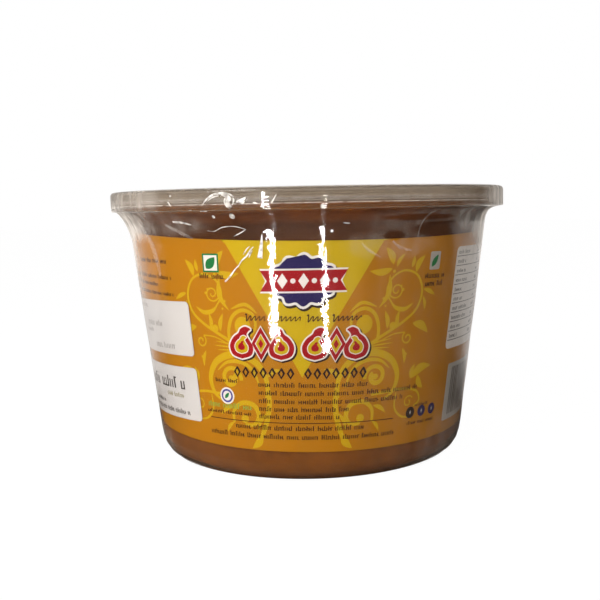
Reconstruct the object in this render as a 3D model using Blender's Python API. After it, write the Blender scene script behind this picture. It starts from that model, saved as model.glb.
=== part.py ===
"""Tub of jaggery: a clear round tub with a press-on lid, a wrap label, two stickers and shrink film.

Metres, +Z up. The origin is the middle of the tub's base, on the surface that it stands on.
The front of the label faces -Y, and angles round the tub are measured from that front, towards +X.
"""

import math

import bmesh
import bpy

# The pack's outside, measured over the film
FLOOR_RADIUS = 0.0508  # the wall's cone, carried down to the floor
WALL_FLARE = 0.1223  # radius gained for each metre of height
BASE_FILLET = 0.0074
LID_RADIUS = 0.0660
LID_BOTTOM = 0.0812
PACK_HEIGHT = 0.0880

# Skins and walls, from the outside in, with the same clearance between neighbours
CLEARANCE = 0.00015
FILM = 0.00015
STICKER = 0.00015
LABEL = 0.00015
TUB_WALL = 0.0007
LID_WALL = 0.0006

STICKER_DEPTH = FILM + CLEARANCE
LABEL_DEPTH = STICKER_DEPTH + STICKER + CLEARANCE
TUB_DEPTH = LABEL_DEPTH + LABEL + CLEARANCE
JAGGERY_DEPTH = TUB_DEPTH + TUB_WALL + CLEARANCE

# Tub
BASE_GROOVE_RADIUS = 0.0370
BASE_GROOVE_WIDTH = 0.0016
BASE_GROOVE_HEIGHT = 0.0005
SHOULDER_BOTTOM = 0.08165
SHOULDER_RADIUS = 0.0643
SHOULDER_FILLET = 0.0012
RIM_OUTER_RADIUS = 0.06375
RIM_TOP = 0.0864

# Lid
LID_SKIRT_RADIUS = LID_RADIUS - FILM - CLEARANCE
LID_SKIRT_BOTTOM = LID_BOTTOM + FILM + CLEARANCE
LID_TOP = PACK_HEIGHT - FILM - CLEARANCE
LID_EDGE_ROUND = 0.0008
LID_RING_WIDTH = 0.0032
LID_PLUG_DRAFT = 0.0003
LID_PANEL_TOP = 0.0842
LID_STEP_RADIUS = 0.0480
LID_STEP_HEIGHT = 0.0009
LID_STEP_WIDTH = 0.0010

# Jaggery, filled up to just under the lid's panel
JAGGERY_TOP = LID_PANEL_TOP - LID_WALL - CLEARANCE
JAGGERY_EDGE_ROUND = 0.0020
JAGGERY_DIP = 0.0009  # how deep the hollows of its poured top are
JAGGERY_RINGS = 8

# Wrap label: a band cut straight, so that both edges rise a little towards its ends
LABEL_BOTTOM = 0.0102
LABEL_TOP = 0.0727
LABEL_TILT = 0.0008  # the right side's drop, and the left side's rise
LABEL_TOP_BOW = 0.0026
LABEL_BOTTOM_BOW = 0.0013
LABEL_GAP = 6.0  # degrees left bare behind, between the label's two ends
LABEL_ROWS = 3

# Stickers, over the label at the front left
STICKER_WIDTH = 0.0420
STICKER_HEIGHT = 0.0172
STICKER_CORNER = 0.0020
STICKER_LEAN = 0.030  # rise towards the front for each metre along the sticker
STICKER_FRONT_EDGE = -39.0  # degrees
STICKER_HEIGHTS = {"sticker_upper": 0.0456, "sticker_lower": 0.0251}

# Shrink film
FILM_FOOT_ANGLE = 58.0  # how far it reaches round the base fillet, in degrees
FILM_BRIDGE_DROP = 0.0040  # how far under the lid it meets the wall
FILM_LIP = 0.0003  # how much it rounds off the lid's lower edge
FILM_TOP_REACH = 0.0034  # how far it reaches inward over the lid's ring

SIDES = 56
TURN = math.tau

# Colour, roughness, metallic value and opacity of each finish
FINISHES = {
    "tub": ((0.62, 0.56, 0.50), 0.12, 0.0, 0.35),
    "lid": ((0.66, 0.60, 0.54), 0.12, 0.0, 0.45),
    "jaggery": ((0.15, 0.06, 0.022), 0.45, 0.0, 1.0),
    "label": ((0.62, 0.25, 0.02), 0.30, 0.0, 1.0),
    "sticker_upper": ((0.68, 0.62, 0.58), 0.50, 0.0, 1.0),
    "sticker_lower": ((0.68, 0.62, 0.58), 0.50, 0.0, 1.0),
    "film_sleeve": ((0.80, 0.78, 0.75), 0.06, 0.0, 0.15),
}


def wall_radius(height, depth=0.0):
    """Radius of the tapered wall at a height, this deep under the outside of the film."""
    return FLOOR_RADIUS + WALL_FLARE * height - depth


def arc(centre_r, centre_z, radius, start, end, steps):
    """Points on a round corner of a profile, as radius and height, between two angles in degrees."""
    points = []
    for step in range(steps + 1):
        angle = math.radians(start + (end - start) * step / steps)
        points.append((centre_r + radius * math.cos(angle), centre_z + radius * math.sin(angle)))
    return points


def inset(profile, distance):
    """The profile moved to the left of its direction of travel, with its corners kept sharp."""
    moved = []
    last = len(profile) - 1
    for index, (r, z) in enumerate(profile):
        normals = []
        for first, second in ((max(index - 1, 0), index), (index, min(index + 1, last))):
            if first != second:
                run = profile[second][0] - profile[first][0]
                rise = profile[second][1] - profile[first][1]
                length = math.hypot(run, rise)
                normals.append((-rise / length, run / length))
        across = sum(n[0] for n in normals) / len(normals)
        up = sum(n[1] for n in normals) / len(normals)
        scale = distance / (across * across + up * up)
        moved.append((r + across * scale, z + up * scale))
    return moved


def finish(name):
    colour, roughness, metallic, opacity = FINISHES[name]
    material = bpy.data.materials.new(name)
    material.use_nodes = True
    shader = material.node_tree.nodes["Principled BSDF"]
    shader.inputs["Base Color"].default_value = (*colour, 1.0)
    shader.inputs["Roughness"].default_value = roughness
    shader.inputs["Metallic"].default_value = metallic
    shader.inputs["Alpha"].default_value = opacity
    return material


def add_object(name, bm):
    """Puts a finished bmesh into the scene as a named object, smooth but for its sharp edges."""
    bmesh.ops.recalc_face_normals(bm, faces=bm.faces)
    mesh = bpy.data.meshes.new(name)
    bm.to_mesh(mesh)
    bm.free()
    mesh.shade_smooth()
    mesh.set_sharp_from_angle(angle=math.radians(35))
    piece = bpy.data.objects.new(name, mesh)
    piece.data.materials.append(finish(name))
    bpy.context.scene.collection.objects.link(piece)
    return piece


def turn(profile, closed):
    """Spins a profile of radius and height points once round Z. An open one starts and ends on the axis."""
    bm = bmesh.new()
    verts = [bm.verts.new((r, 0.0, z)) for r, z in profile]
    edges = [bm.edges.new(pair) for pair in zip(verts, verts[1:])]
    if closed:
        edges.append(bm.edges.new((verts[-1], verts[0])))
    bmesh.ops.spin(
        bm,
        geom=verts + edges,
        axis=(0, 0, 1),
        cent=(0, 0, 0),
        angle=TURN,
        steps=SIDES,
        use_merge=True,
    )
    bmesh.ops.remove_doubles(bm, verts=bm.verts, dist=1e-6)
    return bm


def wrapped_skin(place, columns, rows, depth, thickness):
    """A thin closed solid on the wall. place(u, v) gives the angle from the front and the height."""
    bm = bmesh.new()
    layers = []
    for layer_depth in (depth, depth + thickness):
        grid = []
        for column in range(columns + 1):
            line = []
            for row in range(rows + 1):
                angle, height = place(column / columns, row / rows)
                radius = wall_radius(height, layer_depth)
                line.append(bm.verts.new((radius * math.sin(angle), -radius * math.cos(angle), height)))
            grid.append(line)
        layers.append(grid)
    outer, inner = layers
    for grid in layers:
        for left, right in zip(grid, grid[1:]):
            for row in range(rows):
                bm.faces.new((left[row], right[row], right[row + 1], left[row + 1]))
    rims = [
        ([line[0] for line in outer], [line[0] for line in inner]),
        ([line[rows] for line in outer], [line[rows] for line in inner]),
        (outer[0], inner[0]),
        (outer[columns], inner[columns]),
    ]
    for outer_rim, inner_rim in rims:
        for index in range(len(outer_rim) - 1):
            bm.faces.new((outer_rim[index], outer_rim[index + 1], inner_rim[index + 1], inner_rim[index]))
    return bm


def base_profile(depth, fillet, steps, start=90.0):
    """Up round the base fillet to the wall, from this many degrees below the level of its centre."""
    slope = math.atan(WALL_FLARE)
    centre_r = wall_radius(fillet, depth) - fillet / math.cos(slope)
    return arc(centre_r, fillet, fillet, -start, -math.degrees(slope), steps)


def make_tub():
    """Thin-walled tub with a rounded base, a shoulder under the lid and a standing rim."""
    outside = [
        (0.0, 0.0),
        (BASE_GROOVE_RADIUS - BASE_GROOVE_WIDTH / 2, 0.0),
        (BASE_GROOVE_RADIUS, BASE_GROOVE_HEIGHT),
        (BASE_GROOVE_RADIUS + BASE_GROOVE_WIDTH / 2, 0.0),
    ]
    outside += base_profile(TUB_DEPTH, BASE_FILLET, 4)
    under = SHOULDER_BOTTOM - SHOULDER_FILLET
    outside += arc(wall_radius(under, TUB_DEPTH) + SHOULDER_FILLET, under, SHOULDER_FILLET, 180, 90, 2)
    shoulder_top = SHOULDER_BOTTOM + TUB_WALL
    rim_inner = RIM_OUTER_RADIUS - TUB_WALL
    outside += [
        (SHOULDER_RADIUS, SHOULDER_BOTTOM),
        (SHOULDER_RADIUS, shoulder_top),
        (RIM_OUTER_RADIUS, shoulder_top),
        (RIM_OUTER_RADIUS, RIM_TOP),
        (rim_inner, RIM_TOP),
        (rim_inner, shoulder_top),
    ]
    inside = [(wall_radius(shoulder_top, TUB_DEPTH + TUB_WALL), shoulder_top)]
    hollow = base_profile(TUB_DEPTH + TUB_WALL, BASE_FILLET - TUB_WALL, 3)
    inside += [(r, z + TUB_WALL) for r, z in reversed(hollow)]
    inside.append((0.0, TUB_WALL))
    return add_object("tub", turn(outside + inside, closed=False))


def make_lid():
    """Press-on lid: a panel with a raised middle, a ring channel over the tub's rim, and a skirt."""
    outer = LID_SKIRT_RADIUS
    ring_inner = outer - LID_RING_WIDTH
    plug_foot = ring_inner - LID_PLUG_DRAFT
    middle = LID_PANEL_TOP + LID_STEP_HEIGHT
    top_side = [(0.0, middle), (LID_STEP_RADIUS, middle), (LID_STEP_RADIUS + LID_STEP_WIDTH, LID_PANEL_TOP)]
    top_side.append((plug_foot - LID_EDGE_ROUND, LID_PANEL_TOP))
    top_side.append((plug_foot, LID_PANEL_TOP + LID_EDGE_ROUND))
    corner = LID_TOP - LID_EDGE_ROUND
    top_side += arc(ring_inner + LID_EDGE_ROUND, corner, LID_EDGE_ROUND, 180, 90, 2)
    top_side += arc(outer - LID_EDGE_ROUND, corner, LID_EDGE_ROUND, 90, 0, 2)
    top_side.append((outer, LID_SKIRT_BOTTOM))
    under_side = inset(top_side, -LID_WALL)
    return add_object("lid", turn(top_side + under_side[::-1], closed=False))


def jaggery_top(angle, share):
    """Depth of the poured top under its highest level, for a place at this share of the radius."""
    ripple = math.sin(3 * angle + 0.6) * math.cos(7.0 * share) + 0.6 * math.cos(5 * angle + 9.0 * share)
    fade = math.sin(math.pi * share)
    return JAGGERY_DIP * fade * (0.5 + 0.3 * ripple)


def make_jaggery():
    """The set jaggery that fills the tub, with a slightly uneven poured top."""
    depth = JAGGERY_DEPTH
    lift = TUB_WALL + CLEARANCE
    side = [(0.0, lift)]
    side += [(r, z + lift) for r, z in base_profile(depth, BASE_FILLET - lift, 3)]
    rim = JAGGERY_TOP - JAGGERY_EDGE_ROUND
    flat_radius = wall_radius(rim, depth) - JAGGERY_EDGE_ROUND
    side += arc(flat_radius, rim, JAGGERY_EDGE_ROUND, 0, 90, 2)
    for ring in range(JAGGERY_RINGS - 1, -1, -1):
        side.append((flat_radius * ring / JAGGERY_RINGS, JAGGERY_TOP))
    bm = turn(side, closed=False)
    for vert in bm.verts:
        if vert.co.z > JAGGERY_TOP - 1e-6:
            share = math.hypot(vert.co.x, vert.co.y) / flat_radius
            vert.co.z -= jaggery_top(math.atan2(vert.co.y, vert.co.x), min(share, 1.0))
    return add_object("jaggery", bm)


def label_place(u, v):
    """Angle and height of a spot on the wrap label, u along it and v up it."""
    half = math.pi - math.radians(LABEL_GAP) / 2
    angle = (2 * u - 1) * half
    rise = 1 - math.cos(min(abs(angle), math.pi / 2))
    tilt = -LABEL_TILT * math.sin(angle)
    bottom = LABEL_BOTTOM + tilt + LABEL_BOTTOM_BOW * rise
    top = LABEL_TOP + tilt + LABEL_TOP_BOW * rise
    return angle, bottom + (top - bottom) * v


def make_label():
    return add_object("label", wrapped_skin(label_place, SIDES - 1, LABEL_ROWS, LABEL_DEPTH, LABEL))


def sticker_place(middle_height):
    """Places a rounded rectangle on the wall, with its front edge at STICKER_FRONT_EDGE."""
    radius = wall_radius(middle_height, STICKER_DEPTH)
    middle = math.radians(STICKER_FRONT_EDGE) - STICKER_WIDTH / 2 / radius

    def place(u, v):
        x = (u - 0.5) * STICKER_WIDTH
        into_corner = max(abs(x) - (STICKER_WIDTH / 2 - STICKER_CORNER), 0.0)
        half = STICKER_HEIGHT / 2 - STICKER_CORNER
        half += math.sqrt(max(STICKER_CORNER**2 - into_corner**2, 0.0))
        half = max(half, STICKER_HEIGHT / 2 - STICKER_CORNER)
        return middle + x / radius, middle_height + STICKER_LEAN * x + (2 * v - 1) * half

    return place


def sticker_columns():
    """Shares along a sticker, closer together at its round corners."""
    corner = STICKER_CORNER / STICKER_WIDTH
    ends = [corner * (1 - math.cos(math.radians(angle))) for angle in (0, 35, 62, 90)]
    middle = [corner + (1 - 2 * corner) * step / 5 for step in range(1, 5)]
    return ends + middle + [1 - share for share in reversed(ends)]


def make_sticker(name, middle_height):
    shares = sticker_columns()
    place = sticker_place(middle_height)
    last = len(shares) - 1

    def spaced(u, v):
        return place(shares[round(u * last)], v)

    return add_object(name, wrapped_skin(spaced, last, 2, STICKER_DEPTH, STICKER))


def make_film():
    """Shrink film round the whole pack, open in the middle of its top and of its bottom."""
    outside = base_profile(0.0, BASE_FILLET, 3, start=FILM_FOOT_ANGLE)
    bridge_foot = LID_BOTTOM - FILM_BRIDGE_DROP
    wall_top = wall_radius(bridge_foot)
    overhang = LID_RADIUS - wall_top
    outside.append((wall_top, bridge_foot))
    outside.append((wall_top + 0.30 * overhang, bridge_foot + 0.45 * FILM_BRIDGE_DROP))
    outside.append((LID_RADIUS - FILM_LIP, LID_BOTTOM))
    outside.append((LID_RADIUS, LID_BOTTOM + FILM_LIP))
    edge = LID_EDGE_ROUND + FILM + CLEARANCE
    outside += arc(LID_RADIUS - edge, PACK_HEIGHT - edge, edge, 0, 90, 2)
    outside.append((LID_RADIUS - FILM_TOP_REACH, PACK_HEIGHT))
    inside = inset(outside, FILM)
    return add_object("film_sleeve", turn(outside + inside[::-1], closed=True))


def main():
    for old in list(bpy.data.objects):
        bpy.data.objects.remove(old)
    pack = bpy.data.objects.new("jaggery_tub", None)
    bpy.context.scene.collection.objects.link(pack)
    pieces = [make_tub(), make_lid(), make_jaggery(), make_label()]
    for name, middle_height in STICKER_HEIGHTS.items():
        pieces.append(make_sticker(name, middle_height))
    pieces.append(make_film())
    for piece in pieces:
        piece.parent = pack


main()
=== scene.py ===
import math
import random

import bmesh
import bpy
import numpy as np
from mathutils import Matrix, Vector, noise


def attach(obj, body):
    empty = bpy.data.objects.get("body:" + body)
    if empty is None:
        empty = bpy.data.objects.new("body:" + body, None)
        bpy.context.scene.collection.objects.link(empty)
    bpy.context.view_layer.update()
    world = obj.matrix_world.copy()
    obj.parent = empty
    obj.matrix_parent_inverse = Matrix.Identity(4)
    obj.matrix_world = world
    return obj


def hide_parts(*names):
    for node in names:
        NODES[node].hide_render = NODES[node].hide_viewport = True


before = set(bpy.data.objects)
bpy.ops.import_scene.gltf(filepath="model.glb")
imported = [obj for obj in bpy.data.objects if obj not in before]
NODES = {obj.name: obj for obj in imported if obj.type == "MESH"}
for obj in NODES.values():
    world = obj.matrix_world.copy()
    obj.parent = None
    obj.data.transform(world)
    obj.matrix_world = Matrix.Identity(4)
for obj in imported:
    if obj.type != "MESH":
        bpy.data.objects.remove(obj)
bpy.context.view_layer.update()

MM = 0.001

# Camera, in metres and radians: in front of the label, a little above the tub's middle
CAMERA_DISTANCE = 0.3070
CAMERA_HEIGHT = 0.0819
CAMERA_PITCH = 0.1038
CAMERA_ROLL = -0.020
CAMERA_LENS = 53.3
CAMERA_SHIFT = -0.0148

# The print's own frame, in millimetres: x along the wrap from the label's centre line, y up from the floor
PRINT_RADIUS = 57.3
CENTRE_LINE = -1.5  # where the centre line stands at CENTRE_HEIGHT, towards +X
CENTRE_HEIGHT = 58.0
CENTRE_LEAN = 0.039  # how far the centre line leans for each millimetre of height
ROW_SLOPE = -0.014  # fall of a printed row towards +X
INK = 0.02  # rise from one printed layer to the next
USUAL_PITCH = 0.68  # from one printed tick to the next
BADGE_MIDDLE = 61.4  # height of the rosette's middle

# Tub, lid and jaggery, in millimetres
FOOT_TOP = 9.0
FOOT_INNER_RADIUS = 45.5
FOOT_SWELL = 0.4
SKIRT_RIDGES = (1.5, 2.6, 3.7)  # their heights over the skirt's foot
RIDGE_RELIEF = 0.10
RIDGE_HALF = 0.25
WETTING = 0.45  # how far the jaggery's side reaches into the tub's wall
TOP_UNEVENNESS = 0.30
# The jaggery smeared over the tub's shoulder: how far outside its widest line, and how high
SMEAR = ((0.3, 81.75), (5.1, 81.75), (5.1, 82.3), (3.9, 82.45), (3.9, 83.3), (3.6, 83.5))

# Fineness of the turned and wrapped meshes
TURNED_SIDES = 192
WRAP_STEP = 1.5
LABEL_COLUMNS = 300
LABEL_ROWS = 6
FILM_FRONT_COLUMNS = 440
FILM_BACK_COLUMNS = 160
FILM_WALL_ROWS = 108
FILM_BRIDGE_ROWS = 20
FILM_RIM_ROWS = 9

# Linear colours of the print
INK_COLOURS = {
    "orange_ink": (0.50, 0.222, 0.010),
    "yellow_ink": (0.60, 0.44, 0.010),
    "scroll_ink": (0.62, 0.42, 0.014),
    "red_ink": (0.38, 0.008, 0.014),
    "violet_ink": (0.024, 0.016, 0.11),
    "white_ink": (0.86, 0.84, 0.82),
    "dark_ink": (0.035, 0.020, 0.014),
    "type_ink": (0.070, 0.030, 0.012),
    "green_ink": (0.020, 0.21, 0.065),
    "leaf_ink": (0.30, 0.42, 0.06),
    "seal_ink": (0.10, 0.09, 0.34),
    "plate_ink": (0.50, 0.48, 0.45),
    "panel_ink": (0.80, 0.77, 0.74),
    "rule_ink": (0.10, 0.09, 0.085),
    "sticker_dark": (0.10, 0.09, 0.085),
    "sticker_grey": (0.40, 0.38, 0.37),
    "sticker_olive": (0.36, 0.33, 0.20),
}
STICKER_WHITE = (0.66, 0.645, 0.64)

# Shrink film: how it lies, and its hazy and its tight patches (degrees, mm)
FILM_HUG = 0.15  # mm inside the frame's film, so that its relief stays inside it
BROAD_SWELL = 0.10
FINE_SWELL = 0.022
HAZY_PATCHES = (
    # angle, height, half width, half height, share
    (-72, 78, 20, 7, 0.95),
    # the lid's left end here, and its right end at 73 degrees: partly haze, partly a painted highlight
    (-88, 84.5, 18, 6, 0.50),
    (-54, 84.5, 15, 6, 0.34),
    (-44, 84.5, 40, 6, 0.06),
    (73, 84.5, 18, 6, 0.90),
    (-78, 65, 18, 15, 0.46),
    (-46, 78, 20, 4, 0.13),
    (44, 77.5, 30, 4.6, 0.14),
    (76, 75, 18, 9, 0.85),
    (56, 78.5, 16, 5, 0.30),
    (64, 9, 26, 12, 0.18),
    (-82, 6, 24, 9, 0.20),
    (46, 45, 40, 55, 0.04),
    (25, 71, 15, 5, 0.14),
    (62, 69, 10, 6, 0.16),
    (150, 77, 40, 5, 0.35),
    (-145, 77, 34, 5, 0.40),
    (178, 62, 16, 14, 0.25),
)
TIGHT_PATCHES = (
    (40.5, 75.2, 9.0, 2.1),
    (24.5, 73.5, 3.2, 1.2),
    (33, 78.6, 12, 0.8),
    (128, 75, 9, 2.2),
    (-120, 75, 8, 2.0),
)

# ---- measures taken from the frame


def corners_of(node):
    return np.array([vertex.co[:] for vertex in NODES[node].data.vertices])


def wall_cone(node):
    """Radius at the floor, and radius gained per metre of height, of a wrapped node's outer face."""
    points = corners_of(node)
    radius = np.hypot(points[:, 0], points[:, 1])
    flare, at_floor = np.polyfit(points[:, 2], radius, 1)
    outer = radius > at_floor + flare * points[:, 2]
    flare, at_floor = np.polyfit(points[outer, 2], radius[outer], 1)
    return at_floor, flare


def half_profile(node):
    """Radius and height along a turned node's outline, walked along its mesh from its lowest point on."""
    mesh = NODES[node].data
    spots = [vertex.co for vertex in mesh.vertices]
    flat = [abs(spot.y) < 1e-6 and spot.x > -1e-7 for spot in spots]
    names = [(round(spot.x, 6), round(spot.z, 6)) for spot in spots]
    joined = {}
    for edge in mesh.edges:
        a, b = edge.vertices
        if flat[a] and flat[b] and names[a] != names[b]:
            joined.setdefault(names[a], set()).add(names[b])
            joined.setdefault(names[b], set()).add(names[a])
    ends = [name for name, others in joined.items() if len(others) == 1]
    here = min(ends or joined, key=lambda name: (name[1], name[0]))
    walked = [here]
    while True:
        onward = [name for name in joined[here] if name not in walked]
        if not onward:
            return walked
        here = min(onward, key=lambda name: name[1]) if len(walked) == 1 else onward[0]
        walked.append(here)


def closed_profile(node):
    """The node's outline, carried to the axis at both ends."""
    profile = half_profile(node)
    return [(0.0, profile[0][1])] + profile + ([(0.0, profile[-1][1])] if profile[-1][0] > 1e-6 else [])


LABEL_AT_FLOOR, WALL_FLARE = wall_cone("label")


def label_radius(height):
    return LABEL_AT_FLOOR + WALL_FLARE * height


def around(radius, angle, height):
    """A spot at a radius and a height, at an angle from the front towards +X."""
    return Vector((radius * math.sin(angle), -radius * math.cos(angle), height))


def on_wall(angle, height, lift):
    """A spot lifted off the label's outer face."""
    return around(label_radius(height) + lift, angle, height)


# ---- materials


def new_material(name):
    material = bpy.data.materials.new(name)
    material.use_nodes = True
    material.node_tree.nodes.clear()
    return material, material.node_tree


def add_node(tree, kind, values=None, **settings):
    """A shader node with its plain settings. Its inputs are set, or joined to another node's output."""
    made = tree.nodes.new("ShaderNode" + kind)
    for key, value in settings.items():
        setattr(made, key, value)
    for key, value in (values or {}).items():
        if isinstance(value, bpy.types.NodeSocket):
            tree.links.new(value, made.inputs[key])
        else:
            made.inputs[key].default_value = (*value, 1.0) if isinstance(value, tuple) else value
    return made


def show(tree, surface, kind="Material"):
    """Puts a shader out as the surface of a material or of the world."""
    add_node(tree, "Output" + kind, {"Surface": surface})


def calculate(tree, operation, *values, clamp=False):
    """One step of arithmetic on numbers and outputs."""
    step = add_node(tree, "Math", dict(enumerate(values)), operation=operation, use_clamp=clamp)
    return step.outputs[0]


def ranged(tree, value, low, high, to_low=0.0, to_high=1.0):
    """An output carried from one range to another, and held at its ends."""
    values = {"Value": value, "From Min": low, "From Max": high, "To Min": to_low, "To Max": to_high}
    return add_node(tree, "MapRange", values).outputs[0]


def mixed(tree, mask, first, second):
    """Two shaders, mixed by a mask."""
    return add_node(tree, "MixShader", {0: mask, 1: first, 2: second}).outputs[0]


def place_along(tree, axis):
    """Where each spot of the piece is along an axis, in metres."""
    place = add_node(tree, "TexCoord")
    return add_node(tree, "SeparateXYZ", {0: place.outputs["Object"]}).outputs[axis]


def principled(tree, base, roughness, normal, more=None):
    values = {"Base Color": base, "Roughness": roughness, "Normal": normal, **(more or {})}
    return add_node(tree, "BsdfPrincipled", values).outputs[0]


def diffuse(tree, rgb):
    return add_node(tree, "BsdfDiffuse", {"Color": rgb}).outputs[0]


def shade(rgb, factor):
    return tuple(channel * factor for channel in rgb)


def blend_colours(tree, mask, first, second, blend_type="MIX"):
    """Two colours, or outputs that give one, blended by a mask."""
    values = {0: mask, 6: first, 7: second}
    return add_node(tree, "Mix", values, data_type="RGBA", blend_type=blend_type).outputs[2]


def add_bump(tree, height, strength, distance):
    return add_node(tree, "Bump", {"Height": height, "Strength": strength, "Distance": distance}).outputs[0]


def make_mottle_group():
    """Soft uneven spots, drawn out upward by the stretch: a mask for colour and gloss, a height for bump."""
    group = bpy.data.node_groups.new("mottle", "ShaderNodeTree")
    face = group.interface
    for name, usual in (("Size", 0.005), ("Contrast", 1.0), ("Detail", 4.0), ("Stretch", 1.0)):
        face.new_socket(name, in_out="INPUT", socket_type="NodeSocketFloat").default_value = usual
    for name in ("Mask", "Height"):
        face.new_socket(name, in_out="OUTPUT", socket_type="NodeSocketFloat")
    given = group.nodes.new("NodeGroupInput").outputs
    end = group.nodes.new("NodeGroupOutput")
    place = add_node(group, "TexCoord").outputs["Object"]
    drawn = {0: 1.0, 1: 1.0, 2: calculate(group, "DIVIDE", 1.0, given["Stretch"])}
    drawn_out = add_node(group, "CombineXYZ", drawn).outputs[0]
    spot = add_node(group, "VectorMath", {0: place, 1: drawn_out}, operation="MULTIPLY").outputs[0]
    scale = calculate(group, "DIVIDE", 1.0, given["Size"])
    values = {"Vector": spot, "Scale": scale, "Detail": given["Detail"], "Roughness": 0.55}
    height = add_node(group, "TexNoise", values).outputs[0]
    centred = calculate(group, "SUBTRACT", height, 0.5)
    spread = calculate(group, "MULTIPLY", centred, given["Contrast"])
    group.links.new(calculate(group, "ADD", spread, 0.5, clamp=True), end.inputs["Mask"])
    group.links.new(height, end.inputs["Height"])
    return group


def mottle(tree, size, contrast=1.0, detail=4.0, stretch=1.0):
    """The mottle group placed in a material with its own values: its outputs, by name."""
    values = {"Size": size, "Contrast": contrast, "Detail": detail, "Stretch": stretch}
    return add_node(tree, "Group", values, node_tree=MOTTLE).outputs


def make_ink(name):
    """Print on satin film, a little uneven in tone, with faint orange peel. On the stickers it is duller."""
    material, tree = new_material(name)
    rgb = INK_COLOURS[name]
    broad = mottle(tree, 0.018, 1.6)
    fine = mottle(tree, 0.0011, 1.4)
    tone = blend_colours(tree, broad["Mask"], shade(rgb, 0.93), shade(rgb, 1.05))
    grain = blend_colours(tree, fine["Mask"], shade(rgb, 0.95), shade(rgb, 1.04))
    base = blend_colours(tree, 0.5, tone, grain)
    roughness = 0.5 if name.startswith("sticker") else 0.45
    normal = add_bump(tree, fine["Height"], 0.12, 0.0002)
    show(tree, principled(tree, base, roughness, normal, {"Specular IOR Level": 0.06}))
    return material


def ink(name):
    """An ink by its name, made when it is first used."""
    return bpy.data.materials.get(name) or make_ink(name)


def make_paper(name, rgb):
    """Coated white sticker paper, with faint fibre mottling."""
    material, tree = new_material(name)
    broad = mottle(tree, 0.012, 1.5)
    fine = mottle(tree, 0.0006, 1.6)
    tone = blend_colours(tree, broad["Mask"], shade(rgb, 0.96), shade(rgb, 1.02))
    show(tree, principled(tree, tone, 0.55, add_bump(tree, fine["Height"], 0.20, 0.0001)))
    return material


def make_jaggery_material():
    """Set cane sugar with syrupy patches and pale crystals; painted light makes its foot golden, painted
    shade darkens its top.
    """
    material, tree = new_material("set_jaggery")
    broad = mottle(tree, 0.022, 2.6)
    patch = mottle(tree, 0.0055, 2.2)
    crystal = mottle(tree, 0.0008, 3.0)
    base = blend_colours(tree, broad["Mask"], (0.100, 0.036, 0.011), (0.170, 0.064, 0.019))
    syrupy = blend_colours(tree, patch["Mask"], (0.078, 0.028, 0.009), (0.180, 0.066, 0.020))
    body = blend_colours(tree, 0.45, base, syrupy)
    grain = blend_colours(tree, crystal["Mask"], (0.080, 0.030, 0.010), (0.195, 0.080, 0.028))
    block = blend_colours(tree, 0.25, body, grain)
    # Painted light and shade by height: lighter and more golden at the foot, as if lit from the floor, and
    # painted shade up the block, as if under the lid's rim.
    height = place_along(tree, "Z")
    from_foot = ranged(tree, height, 0.010, 0.078)
    painted_light_by_height = blend_colours(tree, from_foot, (2.00, 1.85, 1.15), (0.58, 0.50, 0.42))
    # Painted light: the smear over the rim and the band just under the lid are brightened, against the shade
    # that falls there.
    over_rim = ranged(tree, height, 0.0814, 0.0817)
    smeared = blend_colours(tree, over_rim, (3.2, 2.85, 2.2), (2.0, 2.2, 1.9))
    under_lid = ranged(tree, height, 0.0772, 0.0815)
    thin = blend_colours(tree, under_lid, (1.0, 1.0, 1.0), smeared)
    lit = blend_colours(tree, 1.0, painted_light_by_height, thin, "MULTIPLY")
    whole = blend_colours(tree, 1.0, block, lit, "MULTIPLY")
    roughness = ranged(tree, crystal["Mask"], 0.0, 1.0, 0.38, 0.62)
    normal = add_bump(tree, crystal["Height"], 0.35, 0.0003)
    show(tree, principled(tree, whole, roughness, normal, {"Specular IOR Level": 0.12}))
    return material


def make_clear_plastic(name, tint, bend, milk, milk_face, milk_edge, rings_above=None):
    """Clear moulded plastic, milkier where it is seen at a slant. Above a height it has flow rings."""
    material, tree = new_material(name)
    normal = add_bump(tree, mottle(tree, 0.009, detail=1.0)["Height"], 0.10, 0.0004)
    clear = principled(tree, tint, 0.05, normal, {"IOR": bend, "Transmission Weight": 1.0})
    milky = principled(tree, milk, 0.45, normal, {"Specular IOR Level": 0.1})
    slant = add_node(tree, "LayerWeight", {"Blend": 0.35})
    cloudy = ranged(tree, slant.outputs["Facing"], 0.0, 1.0, milk_face, milk_edge)
    if rings_above is not None:
        height = place_along(tree, "Z")
        values = {"W": height, "Scale": 1500.0, "Detail": 2.0}
        ring = add_node(tree, "TexNoise", values, noise_dimensions="1D")
        depth = ranged(tree, ring.outputs[0], 0.35, 0.65, 0.5, 1.8)
        ringed = ranged(tree, height, rings_above - 0.2 * MM, rings_above + 0.2 * MM, 0.1)
        rings = calculate(tree, "MULTIPLY", depth, ringed)
        cloudy = calculate(tree, "MULTIPLY", cloudy, rings, clamp=True)
    show(tree, mixed(tree, cloudy, clear, milky))
    return material


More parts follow.
